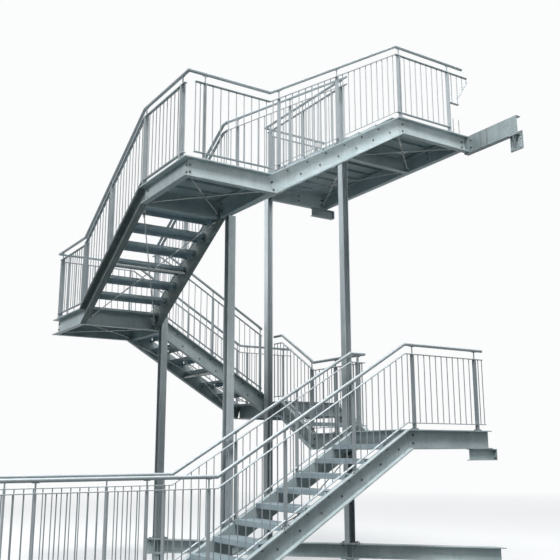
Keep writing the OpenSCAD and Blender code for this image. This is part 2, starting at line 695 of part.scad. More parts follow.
// The end of the upper right railing is cut away above the eaves of the building.
module landing_5_rail_right() {
  l = yw - 240 - y5 - k_top;
  u = [for (c = cut_u) l + c];
  e = [u[1] - 4, u[3] + 7];
  low = cut_z + cut_lift;
  high = top_c - cut_drop;
  bar = function(x) low + (x - e[0])*(high - low)/(e[1] - e[0]) - flat_t;
  color(rail_col) place() side_right(0) translate([y5 + k_top, in_set, z5]) {
    rail(l, 0, slope, 8, [60, l - 15], 0, 294, e[1] - l);
    for (x = [u[0], u[1]]) {
      upright(x, -seat, 245);
      upright(x, cut_z + 4, top_c);
    }
    for (x = [u[2], u[3]]) upright(x, bar(x), top_c);
    translate([l - 15, -flat_b/2, cut_z]) cube([u[1] - l + 25, flat_b, flat_t]);
    translate([0, flat_b/2, 0]) rotate([90, 0, 0]) linear_extrude(flat_b)
      polygon([[e[0], low - 11], [e[1], high - 11], [e[1], high], [e[0], low]]);
  }
}
module landing_5_rail_front() {
  l = -stair_w + in_set - x5 - in_set;
  color(rail_col) place() side_front(y5) translate([x5 + in_set, in_set, z5])
    rail(l, 0, 9, -9, [170, l/2, l - 130]);
}
module landing_5_rail_left() {
  l = yw - y5 - in_set;
  color(rail_col) place() side_left(x5) translate([y5 + in_set, in_set, z5])
    rail(l, 0, 9, 7, [170, l - 180]);
}

post_1();
post_2();
post_3();
post_4();
base_beam();
walkway();
flight_1_stringers();
flight_2_stringers();
flight_3_stringers();
flight_4_stringers();
flight_5_stringers();
flight_1_treads();
flight_2_treads();
flight_3_treads();
flight_4_treads();
flight_5_treads();
landing_1();
landing_2();
landing_3();
landing_4();
landing_5();
bracing();
wall_supports();
walkway_rail_right();
walkway_rail_left();
flight_1_rail_right();
flight_1_rail_left();
landing_1_rail_right();
landing_1_rail_front();
flight_2_rail();
landing_2_rail_end();
flight_3_rail_outer();
flight_3_rail_inner();
landing_3_rail_end();
landing_3_rail_front();
flight_4_rail_outer();
flight_4_rail_inner();
landing_4_rail_front();
landing_4_rail_right();
flight_5_rail_right();
flight_5_rail_inner();
landing_5_rail_right();
landing_5_rail_front();
landing_5_rail_left();
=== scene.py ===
import json
import math
import random
from functools import partial

import bpy
from mathutils import Matrix, Vector


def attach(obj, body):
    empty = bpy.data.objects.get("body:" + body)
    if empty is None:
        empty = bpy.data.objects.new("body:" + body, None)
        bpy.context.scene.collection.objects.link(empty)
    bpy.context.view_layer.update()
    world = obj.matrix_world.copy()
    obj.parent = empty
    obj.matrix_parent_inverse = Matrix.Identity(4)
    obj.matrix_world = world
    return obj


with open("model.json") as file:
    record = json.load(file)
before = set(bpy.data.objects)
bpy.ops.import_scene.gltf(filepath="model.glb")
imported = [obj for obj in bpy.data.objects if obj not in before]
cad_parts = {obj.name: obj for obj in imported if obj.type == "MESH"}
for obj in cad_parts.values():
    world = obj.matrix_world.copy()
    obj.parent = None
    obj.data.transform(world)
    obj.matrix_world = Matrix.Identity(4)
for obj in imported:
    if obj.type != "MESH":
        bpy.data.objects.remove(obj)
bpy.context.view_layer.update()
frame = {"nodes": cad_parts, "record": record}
NODES = frame["nodes"]

# ---------------------------------------------------------------- sizes of the stair
# In millimetres, as drawn: x along the wall, y into it. They repeat those of part.scad.
RISER, GOING = 179.0, 300.0
RISERS = (9, 3, 7, 7, 7)
# each flight's length from its first to its last nosing
RUN = [(n - 1) * GOING for n in RISERS]
SLOPE = RISER / GOING
ANG = math.atan(SLOPE)
# the stringers' top edge lies DROP under the line of the nosings; they kink K_LOW before the
# first and K_TOP past the last nosing
DROP = 40.0
K_LOW, K_TOP = (RISER - DROP) / SLOPE, DROP / SLOPE
# channel: depth, flange, web. The web's outer face lies WEB_OUT in from the flanges' edges
CH_H, CH_B, CH_W = 240.0, 85.0, 9.5
WEB_OUT = CH_B - CH_W
# the railings stand on the middle of the flanges
IN_SET = CH_B / 2
STAIR_W = 1210.0
TREAD_W = STAIR_W - 2 * CH_B
POST_B, PLATE_T, ANCHOR_S = 104.0, 18.0, 180.0
BEAM_TOP, BEAM_FLANGE = 600.0, 11.0
# handrail's top above the deck, its tube, and its middle above the top rail's
RAIL_H, HAND_D, HAND_GAP = 1100.0, 42.4, 122.0
HAND_C = RAIL_H - HAND_D / 2
TOP_C = HAND_C - HAND_GAP
LANDING_D, LANDING_3_W, LANDING_2_L, PLATFORM_L = 1400.0, 1330.0, 1600.0, 3550.0
SET_BACK, HEAD_SET, WALL_GAP, FLIGHT_1_SHIFT = 170.0, 140.0, 160.0, 130.0
WALK_H, WALK_L, WALK_BAY, WALK_FIRST, WALK_LAST = 490.0, 3300.0, 1100.0, 150.0, 802.0
# wall beam: length past the platform, its wall plate's right end, depth; and upright seams
LEDGER_L = 905.0
LEDGER_R, LEDGER_H = LEDGER_L + 25, 260.0
SEAM_X = (241, 356)
CONSOLE_H = 150.0

# levels of the walkway, of landings 1 to 4 and of the platform
LEVELS = [WALK_H]
for count in RISERS:
    LEVELS.append(LEVELS[-1] + count * RISER)
Z0, Z1, Z2, Z3, Z4, Z5 = LEVELS

# lines from front to back
Y5N = LANDING_D
Y4B = Y5N - SET_BACK
Y5 = Y5N + RUN[4]
YB = Y5 + 120
YW = YB + STAIR_W
Y_WALL = YW + WALL_GAP
Y1 = Y5 - HEAD_SET
Y1N = Y1 - RUN[0]
Y_END = Y1N - SET_BACK - WALK_L
Y3N = YB - 130
Y3 = Y3N - RUN[2]

# lines from right to left
XR1 = FLIGHT_1_SHIFT
XL1 = XR1 - STAIR_W
X4 = -(STAIR_W + 190)
X4N = X4 - RUN[3]
X3E = X4N - SET_BACK
X_OUT = X3E - LANDING_3_W
X3R = X_OUT + STAIR_W
X2 = X_OUT + LANDING_2_L
X2N = X2 + RUN[1]
X1E = X2N + SET_BACK
X5 = -PLATFORM_L
X5M = -(STAIR_W - 50)

# origin of the row frame, middles of the posts, and the base beam's turn from the x axis
OX = (X_OUT + LEDGER_R) / 2
OY = (Y_END + Y_WALL) / 2
P1 = (X3E + 5 + POST_B / 2, Y4B + 10 + POST_B / 2)
P2 = (-(STAIR_W - 55), Y4B + 10)
P3 = (X3R + 37 + POST_B / 2, Y5 - 10 + POST_B / 2)
P4 = (-(STAIR_W + 125) + POST_B / 2, Y5 - 10 + POST_B / 2)
BEAM_A = math.atan2(P4[1] - P1[1], P4[0] - P1[0])
UP, DOWN, FRONT = (0, 0, 1), (0, 0, -1), (0, -1, 0)
MM = 0.001


def at(x, y, z):
    """A point of the drawing, in millimetres, as a point of the row frame in metres."""
    return Vector(((x - OX) / 1000, (y - OY) / 1000, z / 1000))


# ---------------------------------------------------------------- mesh builder
class Batch:
    """Collects many small closed solids into one mesh piece."""

    def __init__(self):
        self.verts, self.faces, self.smooth = [], [], []

    def add(self, verts, faces, matrix, smooth=False):
        base = len(self.verts)
        self.verts.extend(matrix @ Vector(v) for v in verts)
        self.faces.extend(tuple(base + i for i in f) for f in faces)
        self.smooth.extend([smooth] * len(faces))

    def piece(self, name, material, slot):
        mesh = bpy.data.meshes.new(name)
        mesh.from_pydata([tuple(v) for v in self.verts], [], self.faces)
        mesh.polygons.foreach_set("use_smooth", self.smooth)
        mesh.validate()
        mesh.update()
        obj = bpy.data.objects.new(name, mesh)
        bpy.context.scene.collection.objects.link(obj)
        mesh.materials.append(material)
        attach(obj, "root")


def rings(profile, n):
    """A closed solid with n sides about +Z. profile is (radius, z) from the bottom up, in mm."""
    verts, faces = [], []
    for r, z in profile:
        for i in range(n):
            a = 2 * math.pi * i / n
            verts.append((r * math.cos(a), r * math.sin(a), z))
    for k in range(len(profile) - 1):
        for i in range(n):
            j = (i + 1) % n
            faces.append((k * n + i, k * n + j, (k + 1) * n + j, (k + 1) * n + i))
    faces.append(tuple(reversed(range(n))))
    faces.append(tuple((len(profile) - 1) * n + i for i in range(n)))
    return verts, faces


def slab(x0, x1, y0, y1, z0, z1, chamfer):
    """A plate with the edges of its top and bottom chamfered."""
    verts, faces = [], []
    for d, z in ((chamfer, z0), (0, z0 + chamfer), (0, z1 - chamfer), (chamfer, z1)):
        verts += [(x0 + d, y0 + d, z), (x1 - d, y0 + d, z),
                  (x1 - d, y1 - d, z), (x0 + d, y1 - d, z)]
    for k in range(3):
        for i in range(4):
            j = (i + 1) % 4
            faces.append((4 * k + i, 4 * k + j, 4 * k + 4 + j, 4 * k + 4 + i))
    faces += [(3, 2, 1, 0), (12, 13, 14, 15)]
    return verts, faces


def look(pos, axis, spin=0.0):
    """Puts a solid drawn about +Z in mm at pos, with its +Z along axis."""
    turn = Vector(axis).normalized().to_track_quat("Z", "Y").to_matrix().to_4x4()
    placed = Matrix.Translation(pos) @ turn @ Matrix.Rotation(spin, 4, "Z")
    return placed @ Matrix.Scale(MM, 4)


def axes(pos, x, z):
    """Puts a solid drawn in mm at pos, with its X along x and its Z about along z."""
    x = Vector(x).normalized()
    y = Vector(z).cross(x).normalized()
    z = x.cross(y)
    turn = Matrix((x, y, z)).transposed().to_4x4()
    return Matrix.Translation(pos) @ turn @ Matrix.Scale(MM, 4)


def corners(half_x, half_y=None):
    """The four corners of a rectangle round the origin."""
    half_y = half_x if half_y is None else half_y
    return [(sx * half_x, sy * half_y) for sx in (-1, 1) for sy in (-1, 1)]


# ---------------------------------------------------------------- fasteners and welds
M10, M12, M14, M16 = 10, 12, 14, 16
# shares of the thread: washer's radius, width over flats, heights of head and nut
WASHER_R, FLATS, HEAD_H, NUT_H = 1.02, 1.55, 0.63, 0.85
# washer's thickness and length of the thread past the nut, in mm
WASHER_T, PAST_NUT = 2.5, 7
# the same for the anchors in the ground
ANCHOR_WASHER_R, ANCHOR_FLATS, ANCHOR_WASHER_T, PAST_ANCHOR = 1.05, 1.5, 3, 22
# a head is turned by up to a sixth of a full turn
HEAD_TURN = 1.05
# unevenness of a weld bead, and the distance between its rings in mm
BEAD_WAVE, BEAD_STEP = 0.13, 9
RND = random.Random(7)


def hex_head(flats, h, z):
    """A hexagon of height h on z, with the round crown of a bolt's head or a nut."""
    r, shoulder = flats / math.sqrt(3), z + 0.82 * h
    crown = [(0.5 * flats * 1.06, shoulder - 0.01), (0.5 * flats * 0.93, z + h)]
    return [rings([(r, z), (r, shoulder)], 6), rings(crown, 18)]


def washer(r, t):
    return [rings([(r - 0.4, 0), (r, 0.4), (r, t - 0.4), (r - 0.4, t)], 20)]


def stud(r, z0, z1):
    """The threaded end of a bolt, drawn as close ribs."""
    pitch, prof, z = 1.8, [(r * 0.94, z0)], z0
    while z + pitch < z1 - 1:
        prof += [(r, z + 0.5 * pitch), (r * 0.88, z + pitch)]
        z += pitch
    prof += [(r * 0.9, z1 - 1), (r * 0.7, z1)]
    return [rings(prof, 12)]


def nut(d, washer_r, washer_t, flats, past):
    """A washer, a nut and the end of a thread that stands past it."""
    return (washer(d * washer_r, washer_t) + hex_head(flats * d, NUT_H * d, washer_t)
            + stud(d / 2, 1.0, washer_t + NUT_H * d + past))


def bolt(batch, pos, axis, d, grip=None):
    """A hexagon bolt with a washer at pos. With a grip, its nut is on the far side of it."""
    pos, axis = Vector(pos), Vector(axis)
    place = look(pos, axis, RND.uniform(0, HEAD_TURN))
    for part in washer(d * WASHER_R, WASHER_T) + hex_head(FLATS * d, HEAD_H * d, WASHER_T):
        batch.add(*part, place)
    if grip is not None:
        far = pos - axis.normalized() * grip / 1000
        place = look(far, -axis, RND.uniform(0, HEAD_TURN))
        for part in nut(d, WASHER_R, WASHER_T, FLATS, PAST_NUT):
            batch.add(*part, place)


def anchor(batch, pos):
    """A threaded stud standing up out of the ground with a washer and a nut."""
    place = look(pos, UP, RND.uniform(0, HEAD_TURN))
    for part in nut(M16, ANCHOR_WASHER_R, ANCHOR_WASHER_T, ANCHOR_FLATS, PAST_ANCHOR):
        batch.add(*part, place)


def bead(batch, a, b, r):
    """A weld bead from a to b with a slightly uneven surface."""
    a, b = Vector(a), Vector(b)
    length = (b - a).length * 1000
    steps = max(3, int(length / BEAD_STEP))
    prof = [(0.4 * r, 0)]
    for i in range(steps + 1):
        wave = 1 + RND.uniform(-BEAD_WAVE, BEAD_WAVE)
        prof.append((r * wave, 1 + (length - 2) * i / steps))
    prof.append((0.4 * r, length))
    batch.add(*rings(prof, 8), look(a, b - a), True)


# ---------------------------------------------------------------- materials
class Graph:
    """A short way to write a node tree."""

    def __init__(self, tree):
        self.tree = tree

    def node(self, kind, **values):
        n = self.tree.nodes.new(kind)
        for k, v in values.items():
            setattr(n, k, v)
        return n

    def link(self, a, b):
        self.tree.links.new(a, b)

    def math(self, op, a, b=None, clamp=False):
        n = self.node("ShaderNodeMath", operation=op, use_clamp=clamp)
        for i, v in enumerate((a, b)):
            if v is None:
                continue
            if isinstance(v, (int, float)):
                n.inputs[i].default_value = v
            else:
                self.link(v, n.inputs[i])
        return n.outputs[0]

    def noise(self, vector, scale, detail=3.0, rough=0.5):
        n = self.node("ShaderNodeTexNoise")
        n.inputs["Scale"].default_value = scale
        n.inputs["Detail"].default_value = detail
        n.inputs["Roughness"].default_value = rough
        self.link(vector, n.inputs["Vector"])
        return n.outputs["Fac"]

    def span(self, value, a, b, c, d):
        """value from the range a to b put on the range c to d, and held there."""
        n = self.node("ShaderNodeMapRange")
        for k, v in zip(("From Min", "From Max", "To Min", "To Max"), (a, b, c, d)):
            n.inputs[k].default_value = v
        self.link(value, n.inputs["Value"])
        return n.outputs["Result"]

    def mix(self, fac, a, b, blend="MIX"):
        n = self.node("ShaderNodeMix", data_type="RGBA", blend_type=blend)
        for i, v in ((0, fac), (6, a), (7, b)):
            if isinstance(v, (int, float)):
                n.inputs[i].default_value = v
            elif isinstance(v, tuple):
                n.inputs[i].default_value = (*v, 1)
            else:
                self.link(v, n.inputs[i])
        return n.outputs[2]

    def scaled(self, tone, factor):
        """The colour tone times the number factor."""
        grey = self.node("ShaderNodeCombineColor")
        for i in range(3):
            self.link(factor, grey.inputs[i])
        return self.mix(1.0, tone, grey.outputs[0], "MULTIPLY")

    def split(self, vector):
        n = self.node("ShaderNodeSeparateXYZ")
        self.link(vector, n.inputs[0])
        return n.outputs

    def stretched(self, vector, sx, sy, sz):
        n = self.node("ShaderNodeMapping")
        n.inputs["Scale"].default_value = (sx, sy, sz)
        self.link(vector, n.inputs["Vector"])
        return n.outputs["Vector"]

    def bump(self, height, strength, distance, under=None):
        n = self.node("ShaderNodeBump")
        n.inputs["Strength"].default_value = strength
        n.inputs["Distance"].default_value = distance
        self.link(height, n.inputs["Height"])
        if under is not None:
            self.link(under, n.inputs["Normal"])
        return n.outputs[0]

    def blend_shaders(self, fac, a, b):
        n = self.node("ShaderNodeMixShader")
        for i, v in enumerate((fac, a, b)):
            self.link(v, n.inputs[i])
        return n.outputs[0]

    def backdrop_seen(self):
        """1 on the rays that show the pale background: direct, through glass, and in metal."""
        ray = self.node("ShaderNodeLightPath").outputs
        seen = self.math("MAXIMUM", ray["Is Camera Ray"], ray["Is Transmission Ray"])
        return self.math("MAXIMUM", seen, ray["Is Glossy Ray"])


def blank(name):
    """A new material, the graph of its nodes, and its shader."""
    mat = bpy.data.materials.new(name)
    mat.use_nodes = True
    return mat, Graph(mat.node_tree), mat.node_tree.nodes["Principled BSDF"]


STAIN, BLOOM = (0.27, 0.28, 0.26), (0.66, 0.70, 0.71)
# SEAM darkens the line of a joint; WEB_SHADE is painted shade in the posts' webs
SEAM, WEB_SHADE = (0.10, 0.11, 0.10), (0.12, 0.14, 0.15)
# metres from a seam's middle to where it is darkest, and to where it ends
SEAM_CORE, SEAM_END = 0.008, 0.018
# metres from a post's middle to just past its outside, and to where the web's shade ends
POST_OUT, POST_IN = 0.053, 0.042
# metres from stud to stud of the tread pattern's waves
STUD_WAVE = 0.032


def zinc_cells(g, pos, spangle):
    """A random number for each zinc flake. A noise bends the flakes' outlines."""
    wobble = g.node("ShaderNodeTexNoise")
    wobble.inputs["Scale"].default_value = 40.0
    g.link(pos, wobble.inputs["Vector"])
    bent = g.node("ShaderNodeVectorMath", operation="MULTIPLY_ADD")
    g.link(wobble.outputs["Color"], bent.inputs[0])
    bent.inputs[1].default_value = (0.012, 0.012, 0.012)
    g.link(pos, bent.inputs[2])
    cells = g.node("ShaderNodeTexVoronoi", feature="F1")
    cells.inputs["Scale"].default_value = spangle
    g.link(bent.outputs[0], cells.inputs["Vector"])
    grey = g.node("ShaderNodeSeparateColor")
    g.link(cells.outputs["Color"], grey.inputs[0])
    return grey.outputs[0]


def galvanised(name, base, dull, metal=0.1, rough=0.45, spangle=45, flake=0.05, runs=0.10,
               blotch=0.3, studs=False, seams=(), foot=None, painted_top_light=0.0, painted_web_shade=()):
    """Hot-dip galvanised steel: faint zinc flakes, cloudy grey patches, soft vertical runs.

    spangle is the number of flakes in a metre, flake their contrast, blotch the strength of
    stains and of white bloom. studs raises small dots on what faces up. seams darkens lines at
    these x. foot is (low z, high z, factor below): the tone times factor at low z, fading to
    no change at high z; on the posts and stringers it is painted shade towards the bottom.
    wash is a painted highlight: it brightens what faces up. recess is painted shade in the
    webs of posts, each (x, y, whether its flanges face along x).
    """
    mat, g, shader = blank(name)
    pos = g.node("ShaderNodeTexCoord").outputs["Object"]
    xyz = g.split(pos)
    facing = g.split(g.node("ShaderNodeNewGeometry").outputs["Normal"])
    # wide clouds and small patches between the two tones
    patch = g.noise(pos, 7.0)
    cloud = g.math("ADD", g.span(g.noise(pos, 1.5), 0.32, 0.68, 0.0, 1.0),
                   g.span(patch, 0.3, 0.7, -0.25, 0.25), True)
    tone = g.mix(cloud, dull, base)
    # flakes, and runs that a low scale along z draws out
    cell = zinc_cells(g, pos, spangle)
    run = g.noise(g.stretched(pos, 16.0, 16.0, 0.8), 1.0)
    tone = g.scaled(tone, g.math("ADD", g.span(cell, 0.0, 1.0, 1.0 - flake, 1.0 + flake),
                                 g.span(run, 0.45, 0.75, 0.0, -runs)))
    # grey stains and white bloom
    smear = g.noise(g.stretched(pos, 4.0, 4.0, 1.6), 1.0, 4.0, 0.55)
    tone = g.mix(g.span(smear, 0.58, 0.76, 0.0, blotch), tone, STAIN)
    bloom = g.span(g.noise(pos, 3.1, 4.0, 0.6), 0.58, 0.76, 0.0, blotch)
    tone = g.mix(bloom, tone, BLOOM)
    for x in seams:
        off = g.math("ABSOLUTE", g.math("SUBTRACT", xyz[0], x))
        tone = g.mix(g.span(off, SEAM_CORE, SEAM_END, 0.85, 0.0), tone, SEAM)
    # tone times the factor at low z, fading to no change at high z: painted shade where the
    # factor is under 1
    if foot:
        low, high, factor = foot
        tone = g.scaled(tone, g.span(xyz[2], low, high, factor, 1.0))
    # painted highlight: what faces up is made lighter, as if lit from the sky above
    if painted_top_light:
        tone = g.scaled(tone, g.span(facing[2], 0.2, 0.9, 1.0, 1.0 + painted_top_light))
    # painted shade in the posts' webs, between their flanges
    for x, y, flanges_x in painted_web_shade:
        off = [g.math("ABSOLUTE", g.math("SUBTRACT", xyz[i], c)) for i, c in enumerate((x, y))]
        near = g.math("LESS_THAN", g.math("MAXIMUM", off[0], off[1]), POST_OUT)
        inside = g.math("LESS_THAN", off[0] if flanges_x else off[1], POST_IN)
        web = g.math("MULTIPLY", g.math("MULTIPLY", near, inside), 0.8)
        tone = g.mix(web, tone, WEB_SHADE)
    g.link(tone, shader.inputs["Base Color"])
    # each flake has its own gloss, and bloom is dull
    matt = g.math("ADD", g.span(cell, 0.0, 1.0, rough - 0.04, rough + 0.04),
                  g.span(bloom, 0.0, 1.0, 0.0, 0.25), True)
    g.link(matt, shader.inputs["Roughness"])
    shader.inputs["Metallic"].default_value = metal
    shader.inputs["Specular IOR Level"].default_value = 0.25
    # fine grain on soft waves, and the studs on top of both
    grain = g.math("MULTIPLY", g.noise(pos, 260.0, 2.0), 0.3)
    normal = g.bump(g.math("ADD", grain, patch), 0.06, 0.001)
    if studs:
        turns = 2 * math.pi / STUD_WAVE
        wave = [g.math("SINE", g.math("MULTIPLY", xyz[i], turns)) for i in (0, 1)]
        dots = g.span(g.math("MULTIPLY", wave[0], wave[1]), 0.45, 0.95, 0.0, 1.0)
        top = g.math("GREATER_THAN", facing[2], 0.9)
        normal = g.bump(g.math("MULTIPLY", dots, top), 0.7, 0.002, normal)
    g.link(normal, shader.inputs["Normal"])
    return mat


# where the painted shade in the posts' webs lies: each post's middle and the way its flanges
# face
POSTS_PAINTED_SHADE = [((x - OX) / 1000, (y - OY) / 1000, flanges_x)
             for (x, y), flanges_x in ((P1, True), (P2, True), (P3, False), (P4, False))]
MAT = {
    # posts: painted shade in their webs and towards the bottom
    "posts": galvanised(
        "zinc_posts", (0.58, 0.64, 0.665), (0.48, 0.54, 0.565), rough=0.42, runs=0.12,
        blotch=0.2, foot=(2.5, 4.5, 0.68), painted_web_shade=POSTS_PAINTED_SHADE),
    "base_beam": galvanised(
        "zinc_base_beam", (0.47, 0.54, 0.55), (0.36, 0.43, 0.44), rough=0.5),
    "landings": galvanised(
        "zinc_landings", (0.40, 0.46, 0.475), (0.305, 0.36, 0.375), metal=0.05, spangle=42,
        studs=True),
    # stringers: painted highlight on what faces up, painted shade towards the bottom
    "stringers": galvanised(
        "zinc_stringers", (0.42, 0.48, 0.495), (0.325, 0.385, 0.40), metal=0.08, spangle=42,
        foot=(3.2, 5.2, 0.84), painted_top_light=0.8),
    "treads": galvanised(
        "zinc_treads", (0.35, 0.425, 0.455), (0.265, 0.335, 0.37), metal=0.12, rough=0.42,
        spangle=60, studs=True),
    "rods": galvanised(
        "zinc_rods", (0.38, 0.40, 0.40), (0.29, 0.31, 0.31), metal=0.5, rough=0.3, spangle=90,
        flake=0.04, runs=0.0, blotch=0.1),
    "wall_steel": galvanised(
        "zinc_wall_steel", (0.275, 0.325, 0.335), (0.205, 0.245, 0.255), flake=0.04, blotch=0.1,
        foot=(2.5, 4.5, 1.5), seams=[(x - OX) / 1000 for x in SEAM_X]),
    # railings: painted highlight on what faces up
    "railings": galvanised(
        "zinc_railings", (0.28, 0.31, 0.325), (0.24, 0.27, 0.285), metal=0.14, rough=0.42,
        spangle=80, flake=0.03, runs=0.0, blotch=0.12, painted_top_light=1.3),
}
# a darker copy of the stringers' zinc for flight 4's stringers: painted shade
SHADED_STRINGERS = galvanised("zinc_stringers_painted_shade", (0.16, 0.19, 0.19), (0.105, 0.125, 0.123), rough=0.5, spangle=42)
BOLT = galvanised("zinc_bolts", (0.12, 0.13, 0.13), (0.07, 0.08, 0.08), metal=0.12, rough=0.5,
                  spangle=160, runs=0.0)
WELD = galvanised("zinc_welds", (0.40, 0.445, 0.46), (0.285, 0.335, 0.35), metal=0.12,
                  spangle=140, runs=0.0)
SLOT_OF = {s["node"]: s["material_slot"] for s in frame["record"]["subparts"]}
for node, obj in NODES.items():
    obj.data.materials.clear()
    obj.data.materials.append(SHADED_STRINGERS if node == "flight_4_stringers" else MAT[SLOT_OF[node]])


# ---------------------------------------------------------------- sides of the stair
class Side:
    """A run of channel or stringer. u runs along it, v inwards from its outer edge, z up.

    kind is the way it faces, pos its outer edge in y (front, back) or in x (right, left), and
    sign is -1 where u runs against the drawing's axis, so that a flight always runs up.
    """

    def __init__(self, kind, pos, sign=1):
        outwards = 1 if kind in ("back", "right") else -1
        if kind in ("front", "back"):
            self.along, self.out = Vector((sign, 0, 0)), Vector((0, outwards, 0))
            self.edge = Vector((0, pos, 0))
        else:
            self.along, self.out = Vector((0, sign, 0)), Vector((outwards, 0, 0))
            self.edge = Vector((pos, 0, 0))

    def at(self, u, v, z):
        p = self.along * u - self.out * v + self.edge
        return at(p.x, p.y, z)


right, left, front, back = (partial(Side, kind) for kind in ("right", "left", "front", "back"))


class Flight:
    """first and last are its outermost nosings along u, low and high the levels it joins."""

    def __init__(self, name, outer, inner, first, last, low, high, risers):
        self.name, self.outer, self.inner, self.risers = name, outer, inner, risers
        self.first, self.last, self.low, self.high = first, last, low, high

    def nosings(self):
        """(u, z) of the front edge of each tread."""
        return [(self.first + (i - 1) * GOING, self.low + i * RISER)
                for i in range(1, self.risers)]


FLIGHTS = [
    Flight("1", right(XR1), left(XL1), Y1N, Y1, Z0, Z1, RISERS[0]),
    Flight("2", front(YB, -1), back(YW, -1), -X2N, -X2, Z1, Z2, RISERS[1]),
    Flight("3", left(X_OUT, -1), right(X3R, -1), -Y3N, -Y3, Z2, Z3, RISERS[2]),
    Flight("4", front(0), back(Y4B), X4N, X4, Z3, Z4, RISERS[3]),
    Flight("5", right(0), left(-STAIR_W), Y5N, Y5, Z4, Z5, RISERS[4]),
]
# flights whose inner stringer is cut upright at its foot, or at its head, and doesn't kink
CUT_FOOT, CUT_HEAD = ("3", "4", "5"), ("3", "5")


# a tread's bolts behind and below its nosing, and the thickness of the tread's end, in mm
TREAD_BOLT_U, TREAD_BOLT_DROP, TREAD_END_T = (45, 245), 68, 6
# bolts of a kink at a flight's foot and at its head: how far along, and how far down, in mm
KINK_FOOT, KINK_HEAD = (24, (81, 175)), (118, (70, 170))


def tread_bolts():
    """Two bolts through each stringer's web at each end of a tread."""
    for flight in FLIGHTS:
        batch = Batch()
        for u, z in flight.nosings():
            for side in (flight.outer, flight.inner):
                for du in TREAD_BOLT_U:
                    place = side.at(u + du, WEB_OUT, z - TREAD_BOLT_DROP)
                    bolt(batch, place, side.out, M14, CH_W + TREAD_END_T)
        batch.piece(f"tread_bolts_{flight.name}", BOLT, "treads")


def kink_seams():
    """The welded and bolted joints where a stringer meets a landing's edge beam."""
    half = math.tan(ANG / 2)
    margin = 16
    welds, bolts = Batch(), Batch()

    def weld(side, k, z):
        """Beads down the mitred web and across the top flange."""
        ends = [side.at(k + d * half, WEB_OUT - 0.5, z - d) for d in (margin, CH_H - margin)]
        bead(welds, *ends, 2.6)
        bead(welds, side.at(k, 4, z + 0.4), side.at(k, CH_B - 3, z + 0.4), 2.2)

    for flight in FLIGHTS:
        for side in (flight.outer, flight.inner):
            if side is flight.outer or flight.name not in CUT_FOOT:
                k = flight.first - K_LOW
                weld(side, k, flight.low)
                du, drops = KINK_FOOT
                for dz in drops:
                    place = side.at(k + du + dz * half, WEB_OUT, flight.low - dz)
                    bolt(bolts, place, side.out, M16, CH_W)
            if side is flight.outer or flight.name not in CUT_HEAD:
                k = flight.last + K_TOP
                weld(side, k, flight.high)
                du, drops = KINK_HEAD
                for dz in drops:
                    place = side.at(k + du, WEB_OUT, flight.high - dz)
                    bolt(bolts, place, side.out, M16, CH_W)
    welds.piece("kink_welds", WELD, "stringers")
    bolts.piece("kink_bolts", BOLT, "stringers")


def corner_bolts():
    """Pairs of bolts near the corners of the frames, and where a cross beam meets an edge."""
    bolts = Batch()
    end = 110
    spots = [
        (right(0), 100, Z4), (right(0), 4538, Z5), (left(X_OUT), end, Z3),
        (front(0), X_OUT + end, Z3), (front(0), -end, Z4), (front(Y5), X5 + end, Z5),
        (left(X5), Y5 + end, Z5), (left(X5), YW - end, Z5), (left(X_OUT), YW - end, Z2),
        (back(YW), X_OUT + end, Z2), (back(YW), X5 + end, Z5), (left(X5), YB + 600, Z5),
        (right(XR1), Y_END + end, Z0), (left(XL1), Y_END + end, Z0), (back(YW), -700, Z5),
        (front(Y5), -2300, Z5),
    ]
    for side, u, z in spots:
        for dz in (80, 165):
            bolt(bolts, side.at(u, WEB_OUT, z - dz), side.out, M16, CH_W)
    bolts.piece("corner_bolts", BOLT, "landings")


